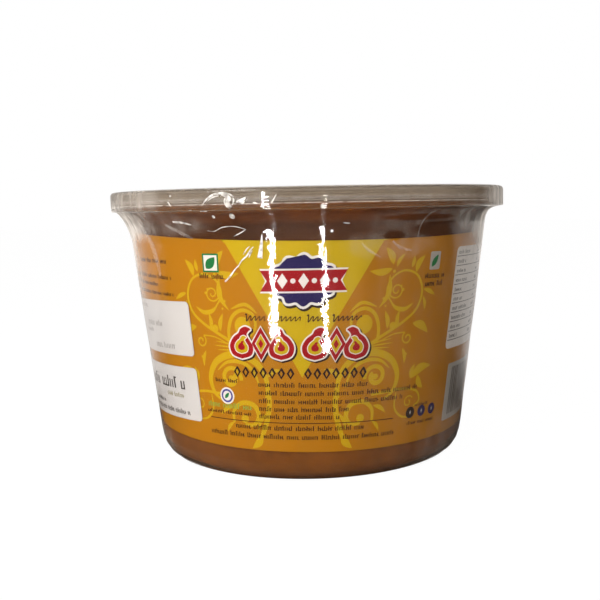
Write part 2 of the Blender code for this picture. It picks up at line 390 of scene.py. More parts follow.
def make_film_material():
    """Shrink film: nearly invisible where it lies tight, hazy where it stands off, with sharp gloss."""
    material, tree = new_material("shrink_film")
    fine = mottle(tree, 0.0013, detail=1.0)
    broad = mottle(tree, 0.007, detail=1.0)
    ripple = calculate(tree, "MULTIPLY_ADD", broad["Height"], 5.0, fine["Height"])
    normal = add_bump(tree, ripple, 0.09, 0.0003)
    through = add_node(tree, "BsdfTransparent", {"Color": (0.99, 0.985, 0.975)})
    shine = add_node(tree, "Attribute", attribute_name="shine").outputs["Color"]
    gloss = add_node(tree, "BsdfGlossy", {"Color": shine, "Roughness": 0.05, "Normal": normal})
    edge = add_node(tree, "Fresnel", {"IOR": 1.45, "Normal": normal})
    clear = mixed(tree, edge.outputs[0], through.outputs[0], gloss.outputs[0])
    haze = principled(tree, (0.97, 0.92, 0.86), 0.40, normal)
    loose = add_node(tree, "Attribute", attribute_name="loose").outputs["Fac"]
    crumple = mottle(tree, 0.0036, contrast=1.8, detail=1.5, stretch=3.0)
    cloudy = ranged(tree, crumple["Mask"], 0.0, 1.0, 0.40, 1.4)
    share = calculate(tree, "MULTIPLY", loose, cloudy, clamp=True)
    show(tree, mixed(tree, share, clear, haze))
    return material


def make_glint_and_fold_material(name, share):
    """A white mark on clear plastic: a painted highlight or glint, or at a soft fold partly the whiteness of
    doubled film.
    """
    material, tree = new_material(name)
    fine = mottle(tree, 0.0015, 2.0)
    normal = add_bump(tree, fine["Height"], 0.30, 0.0003)
    through = add_node(tree, "BsdfTransparent")
    white = principled(tree, (0.95, 0.93, 0.91), 0.18, normal)
    patchy = ranged(tree, fine["Mask"], 0.2, 0.6, share * 0.35, share)
    show(tree, mixed(tree, patchy, through.outputs[0], white))
    return material


MOTTLE = make_mottle_group()

# ---- meshes


def add_piece(name, bm, material, smooth_angle=40.0):
    """Puts a finished bmesh into the scene as a piece that rides on the pack."""
    mesh = bpy.data.meshes.new(name)
    bm.to_mesh(mesh)
    bm.free()
    mesh.shade_smooth()
    mesh.set_sharp_from_angle(angle=math.radians(smooth_angle))
    mesh.materials.append(material)
    piece = bpy.data.objects.new(name, mesh)
    bpy.context.scene.collection.objects.link(piece)
    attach(piece, "root")
    return piece


def between(first, second, share):
    """The point at this share of the way from the first to the second."""
    return first[0] + (second[0] - first[0]) * share, first[1] + (second[1] - first[1]) * share


def rounded(profile, cut):
    """The profile with every corner cut back by up to this length, twice over, so that it turns softly."""
    for share in (1.0, 0.5):
        softened = [profile[0]]
        for before, corner, after in zip(profile, profile[1:], profile[2:]):
            for other in (before, after):
                length = math.dist(corner, other)
                softened.append(between(corner, other, min(cut * share, 0.3 * length) / length))
        softened.append(profile[-1])
        profile = softened
    return profile


def turned(profile, wobble=None):
    """A profile of radius and height points turned round Z into a mesh."""
    bm = bmesh.new()
    turns = [math.tau * side / TURNED_SIDES for side in range(TURNED_SIDES)]
    rings = []
    for r, z in profile:
        if r < 1e-7:
            rings.append([bm.verts.new((0, 0, z))] * TURNED_SIDES)
            continue
        spots = [(around(r, turn, z), turn) for turn in turns]
        rings.append([bm.verts.new(wobble(*spot) if wobble else spot[0]) for spot in spots])
    for lower, upper in zip(rings, rings[1:]):
        for side in range(TURNED_SIDES):
            corners = (lower[side - 1], lower[side], upper[side], upper[side - 1])
            bm.faces.new(list(dict.fromkeys(corners)))
    bmesh.ops.recalc_face_normals(bm, faces=bm.faces)
    return bm


def finer(profile, longest):
    """The profile with points added, so that no stretch is longer than this."""
    dense = [profile[0]]
    for first, second in zip(profile, profile[1:]):
        steps = max(1, math.ceil(math.dist(first, second) / longest))
        dense += [between(first, second, step / steps) for step in range(1, steps + 1)]
    return dense


# ---- the tub, the lid and the jaggery


def make_tub():
    """The tub. Its foot is swelled outward until it nearly meets the film."""
    profile = []
    for r, z in rounded(closed_profile("tub"), 0.4 * MM):
        swell = min(max((FOOT_TOP * MM - z) / (3.0 * MM), 0.0), 1.0)
        in_foot = r > FOOT_INNER_RADIUS * MM and z < FOOT_TOP * MM
        profile.append((r + FOOT_SWELL * MM * swell if in_foot else r, z))
    plastic = make_clear_plastic("tub_plastic", (0.96, 0.94, 0.91), 1.10, (0.42, 0.34, 0.27), 0.004, 0.12)
    piece = add_piece("clear_tub", turned(profile), plastic)
    piece.visible_shadow = False
    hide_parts("tub")


def make_lid():
    """The lid, with fine moulded ridges round its skirt, and painted highlight lines round its skirt and rim.
    """
    profile = closed_profile("lid")
    skirt = max(r for r, _ in profile)
    foot = min(z for r, z in profile if r > skirt - 1e-6)
    ridged = []
    for here, after in zip(profile, profile[1:] + profile[-1:]):
        ridged.append(here)
        if min(here[0], after[0]) > skirt - 1e-6 and after[1] - here[1] > 3 * MM:
            for rise in SKIRT_RIDGES:
                for step, out in ((-RIDGE_HALF, 0.0), (0.0, RIDGE_RELIEF), (RIDGE_HALF, 0.0)):
                    ridged.append((skirt + out * MM, here[1] + (rise + step) * MM))
    milk, rings_above = (0.43, 0.36, 0.29), foot + 1.6 * MM
    plastic = make_clear_plastic("lid_plastic", (0.92, 0.87, 0.80), 1.40, milk, 0.05, 0.22, rings_above)
    piece = add_piece("clear_lid", turned(rounded(ridged, 0.25 * MM)), plastic)
    piece.visible_shadow = False
    # Painted highlights: thin white rings and a band on the skirt and the rim, where light catches the
    # moulding.
    for name, low, high, inset, share in (
        ("skirt_highlight_line", 1.60, 1.88, 0.0, 0.55),
        ("skirt_highlight_band", 2.35, 3.45, 0.0, 0.20),
        ("rim_highlight_line", 5.90, 6.15, 0.55, 0.40),
    ):
        foot_spot = (skirt + (0.03 - inset) * MM, foot + low * MM)
        top_spot = (skirt - 1.4 * inset * MM, foot + high * MM)
        line = turned([foot_spot, top_spot])
        add_piece(name, line, make_glint_and_fold_material(name, share)).visible_shadow = False
    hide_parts("lid")


def make_jaggery():
    """The set block. Its side reaches just into the tub's wall, and its poured top is uneven."""
    outline = finer(closed_profile("jaggery"), 2.0 * MM)
    top = max(z for _, z in outline)
    widest = max(r for r, _ in outline)
    below_edge = sum(z <= top - 1 * MM for _, z in outline)
    profile = []
    for r, z in outline:
        if r < widest and z > top - 1 * MM and len(profile) == below_edge:
            profile += [(widest + out * MM, height * MM) for out, height in SMEAR]
        wet = WETTING * MM if z < top - 2.5 * MM and r > widest - 16 * MM else 0.0
        low = max(0.0, 1 - z / (6 * MM))
        profile.append((r + wet * (1 - 0.5 * low), z - wet * low))

    def uneven(spot, angle):
        share = math.hypot(spot.x, spot.y) / widest
        if spot.z < top - 1.6 * MM or share > 0.97:
            return spot
        swell = math.sin(4 * angle + 1.3) * math.cos(9 * share) + 0.7 * math.sin(11 * angle - 14 * share)
        dip = 0.5 + 0.4 * swell * math.sin(math.pi * share)
        return Vector((spot.x, spot.y, spot.z - TOP_UNEVENNESS * MM * max(dip, 0.0)))

    piece = add_piece("jaggery_fill", turned(profile, wobble=uneven), make_jaggery_material())
    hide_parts("jaggery")


# ---- flat print, wrapped on the wall


def label_edges():
    """The angles of the label's columns of corners, and the heights of its lower and upper edge at each."""
    spots = corners_of("label")
    angles = np.arctan2(spots[:, 0], -spots[:, 1])
    knots = np.unique(np.round(angles, 3))
    columns = [spots[np.abs(angles - knot) < 2e-3, 2] for knot in knots]
    return knots, [column.min() for column in columns], [column.max() for column in columns]


EDGE_ANGLES, LABEL_LOWS, LABEL_HIGHS = label_edges()


def label_span(angle):
    """Heights of the label's lower and upper edge at an angle."""
    return tuple(float(np.interp(angle, EDGE_ANGLES, heights)) for heights in (LABEL_LOWS, LABEL_HIGHS))


def print_spot(x, y, lift):
    """A spot of the print's own frame, on the wall and within the label."""
    angle = (x + CENTRE_LINE + CENTRE_LEAN * (y - CENTRE_HEIGHT)) / PRINT_RADIUS
    low, high = label_span(angle)
    height = min(max(y * MM, low + 0.1 * MM), high - 0.02 * MM)
    return on_wall(angle, height, lift * MM)


def signed_area(points):
    total = 0.0
    for (x0, y0), (x1, y1) in zip(points, points[1:] + points[:1]):
        total += x0 * y1 - x1 * y0
    return total


def wrap_shapes(name, shapes, layer, material, place=print_spot):
    """Flat shapes, as outlines, laid on the wall as one thin printed layer."""
    bm = bmesh.new()
    for outline in shapes:
        points = outline if signed_area(outline) > 0 else outline[::-1]
        bm.faces.new([bm.verts.new((x, y, 0)) for x, y in points])
    bmesh.ops.triangulate(bm, faces=[face for face in bm.faces if len(face.verts) > 4])
    wide = max(max(x for x, _ in outline) - min(x for x, _ in outline) for outline in shapes)
    if wide > 2 * WRAP_STEP:
        spread = [vert.co.x for vert in bm.verts]
        first = math.floor(min(spread) / WRAP_STEP)
        last = math.ceil(max(spread) / WRAP_STEP)
        for step in range(first, last + 1):
            everything = bm.verts[:] + bm.edges[:] + bm.faces[:]
            cut = (step * WRAP_STEP, 0, 0)
            bmesh.ops.bisect_plane(bm, geom=everything, dist=1e-5, plane_co=cut, plane_no=(1, 0, 0))
    for vert in bm.verts:
        vert.co = place(vert.co.x, vert.co.y, INK * layer)
    return add_piece(name, bm, material, smooth_angle=180)


def print_layers(*sheets, first=3):
    """Printed shapes, each with its name and its ink, laid one over the other."""
    for rise, (name, shapes, finish) in enumerate(sheets):
        wrap_shapes(name, shapes, first + rise, ink(finish))


def disc(x, y, radius, squash=1.0, sides=28):
    turns = [math.tau * side / sides for side in range(sides)]
    return [(x + radius * math.cos(turn), y + radius * squash * math.sin(turn)) for turn in turns]


def polar(x, y, radius, turn):
    """A spot at a radius and a turn from another."""
    return x + radius * math.cos(turn), y + radius * math.sin(turn)


def rounded_box(x0, y0, x1, y1, radius, steps=5):
    left, right, low, high = x0 + radius, x1 - radius, y0 + radius, y1 - radius
    points = []
    for x, y, start in ((right, low, -90), (right, high, 0), (left, high, 90), (left, low, 180)):
        for step in range(steps + 1):
            points.append(polar(x, y, radius, math.radians(start + 90 * step / steps)))
    return points


def smooth_path(knots, steps=7):
    """A soft curve through a few knots."""
    padded = [knots[0], *knots, knots[-1]]
    path = []
    for spots in zip(padded, padded[1:], padded[2:], padded[3:]):
        for step in range(steps):
            t = step / steps
            path.append(tuple(
                0.5 * (2 * b + (c - a) * t + (2 * a - 5 * b + 4 * c - d) * t * t
                       + (3 * b - a - 3 * c + d) * t ** 3)
                for a, b, c, d in zip(*spots)
            ))
    path.append(tuple(knots[-1]))
    return path


def spiral(x, y, start_radius, end_radius, start, turn, steps=26):
    """Points along a spiral, with its start and its turn in degrees."""
    path = []
    for step in range(steps + 1):
        share = step / steps
        radius = start_radius + (end_radius - start_radius) * share
        path.append(polar(x, y, radius, math.radians(start + turn * share)))
    return path


def beside(x, y, run, rise, half):
    """The two spots beside a spot, half a width away on either side of the way it is travelled."""
    length = math.hypot(run, rise) or 1.0
    across, up = -rise / length * half, run / length * half
    return (x + across, y + up), (x - across, y - up)


def brush(path, start_width, end_width, belly=0.0):
    """A stroke along a path, as small four-sided shapes. A belly makes it wider in its middle."""
    sides = []
    last = len(path) - 1
    for index, (x, y) in enumerate(path):
        before = path[max(index - 1, 0)]
        after = path[min(index + 1, last)]
        share = index / last
        half = (start_width + (end_width - start_width) * share) / 2 + belly / 2 * math.sin(math.pi * share)
        sides.append(beside(x, y, after[0] - before[0], after[1] - before[1], half))
    return [[a[0], a[1], b[1], b[0]] for a, b in zip(sides, sides[1:])]


def leaf(x0, y0, x1, y1, width, bend=0.0):
    """A pointed leaf from its stalk to its tip, bent to its left by a share of its length."""
    run, rise = x1 - x0, y1 - y0
    sides = []
    for step in range(13):
        share = step / 12
        bow = bend * math.sin(math.pi * share)
        half = width / 2 * math.sin(math.pi * share) ** 0.8 * (1.15 - 0.4 * share)
        sides.append(beside(x0 + run * share - rise * bow, y0 + rise * share + run * bow, run, rise, half))
    return [left for left, _ in sides] + [right for _, right in sides][-2:0:-1]


def mirrored(shapes):
    return [[(-x, y) for x, y in outline] for outline in shapes]


def scroll_side():
    """One side of the traditional scrollwork: curling stems with leaves, berries and two big volutes."""
    shapes = []
    for knots, widths in (
        # the stem up into the upper volute, and the leaf in it
        (((19.1, 41.5), (24, 44.3), (31.9, 48.5), (36, 52), (37.3, 57), (35, 61.6), (30.3, 63.3),
          (26.1, 61.3), (24.7, 57.3), (26.9, 53.6)), (1, 0.5)),
        (((26.4, 54), (28.5, 52.3), (31.5, 51.9), (34.2, 53.4)), (0.2, 0.2, 1.2)),
        # the lower volute, with a line inside it
        (((11.2, 26.5), (11, 31.5), (13.4, 36.4), (18, 39.2), (23.4, 39.4), (28.4, 36.8), (30.8, 32),
          (29.6, 27.4), (26.6, 25.2)), (0.9, 0.5, 1.5)),
        (((13.4, 30), (15.2, 34.6), (19, 37.3), (24, 37.2), (27.6, 34.6)), (0.3, 0.3, 0.9)),
        # the stem round the ball, the line over it and the twig beside it
        (((22.6, 42.4), (22.9, 46.8), (21.4, 51), (18.2, 52.9), (14.9, 51.5), (14.2, 48), (15.8, 45.3)),
         (0.9, 0.5, 0.4)),
        (((13.6, 52), (17.2, 54.6), (21.8, 53.2)), (0.1, 0.2, 0.9)),
        (((24, 43), (28, 44.6), (32.2, 44.9)), (0.3, 0.45)),
        # the ring at the foot, the twigs to its right and the stem to its left
        (((22.8, 18.6), (22.6, 22.4), (19.6, 24.9), (15.6, 24.4), (14, 21.2), (15.6, 18.4), (18.8, 18.4)),
         (0.8, 0.8, 0.7)),
        (((22, 26.9), (28, 27.3), (34, 27.5), (39.3, 26.2), (40.9, 23.2), (38.8, 21.6)), (0.9, 0.6)),
        (((31, 26.8), (30.8, 22.2), (33.4, 19.2), (37, 18.3)), (0.3, 0.4, 0.4)),
        (((10.8, 30), (10.4, 25), (11.2, 20), (12.8, 15.5), (14.4, 12.4)), (1.3, 0.9, 0.6)),
    ):
        shapes += brush(smooth_path(knots), *widths)
    for rise, reach in ((2.2, 9), (0.9, 9.5), (-0.4, 8.5), (-1.6, 6.5)):
        blade = [(18.6, 41.2), (18.6 + reach * 0.5, 41.2 + rise * 0.7), (18.6 + reach, 41.2 + rise)]
        shapes += brush(smooth_path(blade), 0.25, 0.12, belly=0.3)
    for curl, widths in (
        ((27.9, 57.6, 2.5, 0.5, 200, 520), (0.5, 0.4)),
        ((23, 32.4, 3.6, 1.2, 190, -420), (1.2, 1.6)),
        ((33.3, 43.1, 2, 0.5, 120, 430), (0.5, 0.55)),
        ((36.2, 23.2, 2, 0.5, 30, 400), (0.4, 0.5)),
    ):
        shapes += brush(spiral(*curl), *widths)
    shapes.append(disc(18.3, 48.2, 2.5, 1.12))
    shapes += [disc(x, y, radius, sides=sides) for x, y, radius, sides in (
        (30.2, 57.7, 0.45, 12), (29.5, 58.9, 0.3, 10), (23, 32.3, 0.9, 16), (18.8, 20, 1.3, 18),
        (27.6, 47.2, 1.15, 16), (23.8, 55.4, 0.45, 12), (24.6, 53.2, 0.35, 12), (33.5, 38.2, 0.4, 12),
        (26.6, 63.2, 0.5, 12),
    )]
    shapes += [leaf(*ends) for ends in (
        (26, 64, 18.8, 63.6, 2.2, 0.10), (26.2, 65.2, 23.4, 70.2, 2.3, -0.10),
        (25.2, 62.4, 22.3, 52.6, 1.7, 0.16), (34.2, 62.6, 37.2, 67.4, 2.1, 0.12),
        (32.6, 64, 33.2, 67.6, 1.3, -0.05), (37.9, 57.4, 43, 55.2, 1.4, 0.05),
        (37.9, 55.2, 39, 51, 1.2, 0.10), (25.8, 46.4, 24.6, 51.8, 1.5, -0.08),
        (29.4, 46.4, 29.6, 51.8, 1.4, 0.10), (34.8, 47.4, 41.6, 43.9, 2.7, 0.12),
        (31.8, 40.2, 33, 35.2, 1.3, 0.10), (36, 30.4, 44.8, 33.6, 3, 0.14),
        (39, 31.2, 42, 26.8, 2.2, -0.12), (36, 30.6, 37.6, 34.8, 1.6, 0.10),
        (22.9, 23.6, 27.6, 20.8, 1.4, 0.10), (22.9, 18.8, 25.6, 15.4, 1.2, 0.10),
        (12.9, 15.4, 16.6, 10.9, 2.5, -0.10), (11.4, 22, 14.2, 16.6, 1.2, 0.1),
        (27.3, 64.4, 29.8, 68.2, 1.3, 0.1), (11, 33, 6.4, 35.4, 1.5, -0.12),
    )]
    return shapes


def paisley(x, y, size, flip=1):
    """A mango-shaped drop with a curled tip, standing on its round end."""
    path = smooth_path([
        (0, -0.50), (0.34, -0.38), (0.44, -0.08), (0.30, 0.20), (0.10, 0.36), (0.02, 0.50),
        (-0.16, 0.58), (-0.34, 0.50), (-0.26, 0.42), (-0.20, 0.30), (-0.30, 0.12), (-0.42, -0.10),
        (-0.34, -0.38), (0, -0.50),
    ], steps=4)
    return [(x + flip * px * size, y + py * size) for px, py in path[:-1]]


def lozenge(x, y, wide, high):
    return [(x + wide / 2, y), (x, y + high / 2), (x - wide / 2, y), (x, y - high / 2)]


def grown(outline, by):
    """The outline pushed outward on every side."""
    points = outline if signed_area(outline) > 0 else outline[::-1]
    pushed = []
    for before, here, after in zip(points[-1:] + points[:-1], points, points[1:] + points[:1]):
        pushed.append(beside(*here, after[0] - before[0], after[1] - before[1], by)[1])
    return pushed


def moved(shapes, dx, dy):
    return [[(x + dx, y + dy) for x, y in outline] for outline in shapes]


def box(x, y, wide, tall):
    return [(x, y), (x + wide, y), (x + wide, y + tall), (x, y + tall)]


def type_row(x0, x1, y, height, dice, pitch=USUAL_PITCH, slope=ROW_SLOPE):
    """A row of plain ticks and short bars in word-long groups, which stands for print."""
    ticks = []
    x = x0
    while x < x1:
        end = min(x + dice.uniform(2.6, 6.8) * pitch / USUAL_PITCH, x1)
        while x < end:
            tall = height * dice.choice((0.72, 0.72, 0.72, 1))
            wide = pitch * dice.uniform(0.40, 0.56)
            low = y + slope * x
            ticks.append(box(x, low, wide, tall))
            if dice.random() < 0.55:
                bar = low + (tall - 0.13 * height) * dice.choice((0, 0.5, 1))
                ticks.append(box(x, bar, pitch, 0.13 * height))
            x += pitch
        x += height * 0.6
    return ticks


def join_columns(bm, columns):
    """Four-sided faces between neighbouring columns of corners."""
    for left, right in zip(columns, columns[1:]):
        for row in range(len(left) - 1):
            bm.faces.new((left[row], right[row], right[row + 1], left[row + 1]))


def make_label():
    """The wrap label's own sheet, in its ground colour."""
    half_turn = float(EDGE_ANGLES[-1])
    bm = bmesh.new()
    sheets = []
    for lift in (0, -0.12 * MM):
        grid = []
        for column in range(LABEL_COLUMNS + 1):
            angle = half_turn * (2 * column / LABEL_COLUMNS - 1)
            low, high = label_span(angle)
            heights = [low + (high - low) * row / LABEL_ROWS for row in range(LABEL_ROWS + 1)]
            grid.append([bm.verts.new(on_wall(angle, height, lift)) for height in heights])
        join_columns(bm, grid)
        sheets.append(grid)
    front, back = sheets
    for row in (0, -1):
        join_columns(bm, [[inner[row], outer[row]] for inner, outer in zip(back, front)])
    for column in (0, -1):
        join_columns(bm, [front[column], back[column]])
    bmesh.ops.recalc_face_normals(bm, faces=bm.faces)
    piece = add_piece("label_sheet", bm, ink("orange_ink"), smooth_angle=60)
    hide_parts("label")


def make_fields():
    """The yellow wedge under the print, and the scrollwork on both sides of it."""
    side = scroll_side()
    wedge = [(-24.7, 76), (0, 33), (24.7, 76)]
    print_layers(
        ("yellow_field", [wedge], "yellow_ink"), ("scrollwork", side + mirrored(side), "scroll_ink"), first=1
    )


def make_badge():
    """A swallow-tailed ribbon across a scalloped rosette."""
    rosette = []
    for step in range(96):
        turn = math.tau * step / 96
        reach = 1 + 0.075 * math.cos(12 * turn)
        rosette.append((8.8 * reach * math.cos(turn), BADGE_MIDDLE + 6.9 * reach * math.sin(turn)))
    ribbon = [(x, BADGE_MIDDLE + rise) for x, rise in (
        (-12.4, -3), (-10.4, 0), (-12.4, 3), (12.4, 3), (10.4, 0), (12.4, -3)
    )]
    pips = [lozenge(x, BADGE_MIDDLE, 3, 4.4) for x in (-6, 0, 6)]
    pips += [disc(x, BADGE_MIDDLE, 0.75, sides=14) for x in (-3, 3, -8.9, 8.9)]
    print_layers(
        ("badge_shadow", moved([grown(rosette, 0.9)], 0.35, -0.55), "dark_ink"),
        ("badge_edge", [grown(rosette, 0.75)], "white_ink"),
        ("badge_rosette", [rosette], "violet_ink"),
        ("badge_ribbon_edge", [grown(ribbon, 0.5)], "white_ink"),
        ("badge_ribbon", [ribbon], "red_ink"),
        ("badge_pips", pips, "white_ink"),
    )


def make_title():
    """Two groups of mango-shaped drops and lozenges, in red with a white edge and a shadow."""
    motifs, gaps, hearts = [], [], []
    for start in (-21.9, 0.6):
        for group, height, size, wide, high in (
            (motifs, 42.7, 8.9, 5.8, 10), (gaps, 42.3, 4.9, 3.2, 5.6), (hearts, 42.1, 2.6, 1.6, 2.8)
        ):
            drops = [paisley(start + 3.1, height, size, -1), paisley(start + 15.5, height, size, 1)]
            for outline in drops + [lozenge(start + 9.3, 42.9, wide, high)]:
                group.append([(x, y + ROW_SLOPE * x) for x, y in outline])
    print_layers(
        ("title_shadow", moved([grown(shape, 0.5) for shape in motifs], 0.5, -0.4), "dark_ink"),
        ("title_edge", [grown(shape, 0.45) for shape in motifs], "white_ink"),
        ("title_motifs", motifs, "red_ink"),
        ("title_gap_edges", [grown(shape, 0.25) for shape in gaps], "white_ink"),
        ("title_gaps", gaps, "yellow_ink"),
        ("title_hearts", hearts, "red_ink"),
    )


def make_flourish():
    """A looping flourish over the title, and a row of small open lozenges under it."""
    loops = []
    for start, end in ((-17.6, -11), (-8.4, -0.8), (0.8, 6.2), (8.2, 16.9)):
        steps = int((end - start) * 8)
        path = []
        for step in range(steps + 1):
            x = start + (end - start) * step / steps
            swing = 0.62 + 0.85 * math.exp(-1.1 * (x - start))
            wave = math.sin(4.6 * (x - start) + 0.6)
            path.append((x + 0.34 * wave + 0.2, 50.4 + ROW_SLOPE * x + swing * wave))
        loops += brush(path, 0.34, 0.26)
    print_layers(("flourish", loops, "type_ink"))
    blocks = []
    for start in (-21.6, 0.8):
        for index in range(7):
            x = start + 0.9 + 2.85 * index
            ring = lozenge(x, 34.2 + ROW_SLOPE * x, 1.7, 2.8)
            blocks += brush(ring + ring[:2], 0.72, 0.72)
    print_layers(("spaced_lozenges", blocks, "dark_ink"))


def make_fine_print(dice):
    """Rows of ticks all over the label, with a thin rule among them."""
    rows = []
    rule = [(-32, 19.7), (-32, 19.45), (30.7, 18.6), (30.7, 18.85)]
    for start, end, y, height in (
        (-13.8, 20, 30, 1.5), (-13.8, 39.6, 27.5, 1.5), (-13.8, 33.6, 25, 1.5),
        (-13.8, 14.8, 22.6, 1.5), (-13.8, 12, 20.3, 1.5), (-22.3, 20.5, 16.8, 1.5),
        (-32.3, 31.4, 14.1, 1.5), (-28.9, -20.9, 30.6, 1.2), (-33.1, -16.8, 20.8, 1),
        (-31.9, -23.8, 61.6, 1.5), (38, 45.8, 61, 1.6), (38.2, 45.6, 58.6, 1.6),
        (39.4, 45.4, 21.9, 0.8), (36.6, 50.1, 16.3, 1.1), (-64.8, -45.8, 65.2, 1.5),
        (-74.6, -44.6, 60.4, 1.3), (-74, -52.5, 58, 1.2), (-74.6, -44.4, 55.3, 1.2),
    ):
        rows += type_row(start, end, y, height, dice)
    print_layers(("fine_print", rows + [rule], "type_ink"))
    print_layers(("green_row", type_row(-32.6, -16.8, 22.6, 1.7, dice, 0.8), "leaf_ink"))


def make_small_marks():
    """A leaf in a square, a seal, a pictogram plate and three buttons."""
    print_layers(
        ("mark_border", [rounded_box(-30.5, 63.8, -25, 69.3, 0.2, 2)], "green_ink"),
        ("mark_plate", [rounded_box(-30, 64.3, -25.5, 68.8, 0.1, 2)], "white_ink"),
        ("mark_leaf", [leaf(-29.3, 64.9, -26.2, 68.2, 2.9)], "green_ink"),
    )
    print_layers(
        ("seal_disc", [disc(-24.9, 26.8, 2.6)], "white_ink"),
        ("seal_ring", [disc(-24.9, 26.8, 2.1)], "seal_ink"),
        ("seal_middle", [disc(-24.9, 26.8, 1.5)], "white_ink"),
        ("seal_leaf", [leaf(-25.7, 26, -24.1, 27.8, 1.1)], "green_ink"),
    )
    print_layers(
        ("pictogram_plate", [rounded_box(39.3, 62.9, 43.6, 68.3, 0.5, 3)], "plate_ink"),
        ("pictogram_leaf", [leaf(40.2, 63.8, 42.6, 67.3, 1.9)], "green_ink"),
    )
    places = [(x, 19.6 + ROW_SLOPE * (x - 40)) for x in (37.6, 42.7, 47.8)]
    print_layers(("dark_button", [disc(*places[0], 1.8)], "dark_ink"))
    print_layers(
        ("buttons", [disc(x, y, 1.75) for x, y in places[1:]], "violet_ink"),
        ("button_dots", [lozenge(x, y, 0.7, 1.5) for x, y in places], "plate_ink"),
    )


def make_panels(dice):
    """A pale panel with ruled rows, and a striped one under it."""
    ruled = []
    for index in range(10):
        y = 40.0 + 2.9 * index
        ruled.append(box(52.6, y, 30.8, 0.22))
        ruled += type_row(53.4, 53.4 + dice.uniform(4, 12), y + 0.8, 1.2, dice, slope=0.0)
        ruled += type_row(70, 70.0 + dice.uniform(2, 5), y + 0.8, 1.2, dice, slope=0.0)
    pale, grey = rounded_box(52, 37.4, 84, 69.2, 1.6), rounded_box(55.4, 13.9, 80, 32.4, 0.8)
    print_layers(("ruled_panel", [pale], "panel_ink"), ("ruled_rows", ruled, "rule_ink"))
    stripes = []
    x = 58.6
    while x < 77.5:
        wide = dice.choice((0.35, 0.5, 0.8))
        stripes.append(box(x, 15.6, wide, 15.4))
        x += wide + dice.choice((0.35, 0.5, 0.7))
    print_layers(("striped_panel", [grey], "plate_ink"), ("stripes", stripes, "rule_ink"))


def make_print():
    dice = random.Random(4)
    make_fields()
    make_badge()
    make_title()
    make_flourish()
    make_fine_print(dice)
    make_small_marks()
    make_panels(dice)


def sticker_frame(node):
    """A sticker's width and height in millimetres, and the way from its own flat frame to the wall."""
    spots = corners_of(node)
    angles = np.arctan2(spots[:, 0], -spots[:, 1])
    low, high = float(angles.min()), float(angles.max())
    right = spots[angles > high - 0.06, 2].mean()
    left = spots[angles < low + 0.06, 2].mean()
    middle, height = (low + high) / 2, float(right + left) / 2
    radius = label_radius(height)
    wide = (high - low) * radius / MM
    lean = float(right - left) / MM / wide
    tall = float(spots[:, 2].max() - spots[:, 2].min()) / MM - lean * wide

    def place(x, y, lift):
        return on_wall(middle + x * MM / radius, height + (y + lean * x) * MM, (0.3 + lift) * MM)

    return wide, tall, place


def make_stickers():
    """Two white paper stickers with soft corners, each with rows of plain ticks."""
    dice = random.Random(9)
    paper = make_paper("sticker_paper", STICKER_WHITE)
    rows = {
        # from the sticker's right edge: start, end, height, tick height, pitch
        "sticker_upper": (
            ("faint_rows", "sticker_grey", (
                (-28, -15, 0.2, 1.9, 1), (-22, -8, -6.6, 1.9, 1),
                (-38, -26, 5.8, 1.4, 0.9), (-30, -22, -1.9, 1.4, 0.9),
            )),
        ),
        "sticker_lower": (
            ("bold_row", "sticker_dark", ((-34, -5.6, 1.2, 3.7, 1.5),)),
            ("olive_row", "sticker_olive", ((-18, -8, -1.6, 1.4, 0.8),)),
            ("dark_rows", "sticker_dark", ((-32, -21, -4.4, 1.3, 0.7), (-36, -5.5, -6.9, 1.6, 0.7))),
        ),
    }
    for node, groups in rows.items():
        wide, tall, place = sticker_frame(node)
        sheet = rounded_box(-wide / 2, -tall / 2, wide / 2, tall / 2, 1.4)
        piece = wrap_shapes(node + "_sheet", [sheet], 0, paper, place)
        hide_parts(node)
        for name, finish, lines in groups:
            ticks = []
            for start, end, y, height, pitch in lines:
                ticks += type_row(wide / 2 + start, wide / 2 + end, y, height, dice, pitch, 0)
            wrap_shapes(node + "_" + name, ticks, 1, ink(finish), place)


# ---- shrink film


def film_lines():
    """The film's outer line in the frame, from its foot up, and where its wall and its lip start in it."""
    outline = half_profile("film_sleeve")
    top = max(z for _, z in outline)
    edge = next(index for index, (_, z) in enumerate(outline) if z > top - 1e-6)
    line = [outline[0]] + outline[edge:][::-1]
    runs = [math.dist(a, b) for a, b in zip(line, line[1:])]
    widest = max(r for r, _ in line)
    lip = next(index for index, (r, _) in enumerate(line) if r > widest - 1e-6)
    return line, runs.index(max(runs)), lip


FILM_LINE, FILM_WALL, FILM_LIP = film_lines()
WALL_START, WALL_END = FILM_LINE[FILM_WALL:FILM_WALL + 2]
LIP_FOOT, LIP_TOP = FILM_LINE[FILM_LIP:FILM_LIP + 2]


def slackness(angle):
    """How loosely the film hangs under the lid's rim: most to the left of the label, least to its right."""
    return min(max(0.45 - 0.60 * math.sin(angle), 0.0), 1.0)


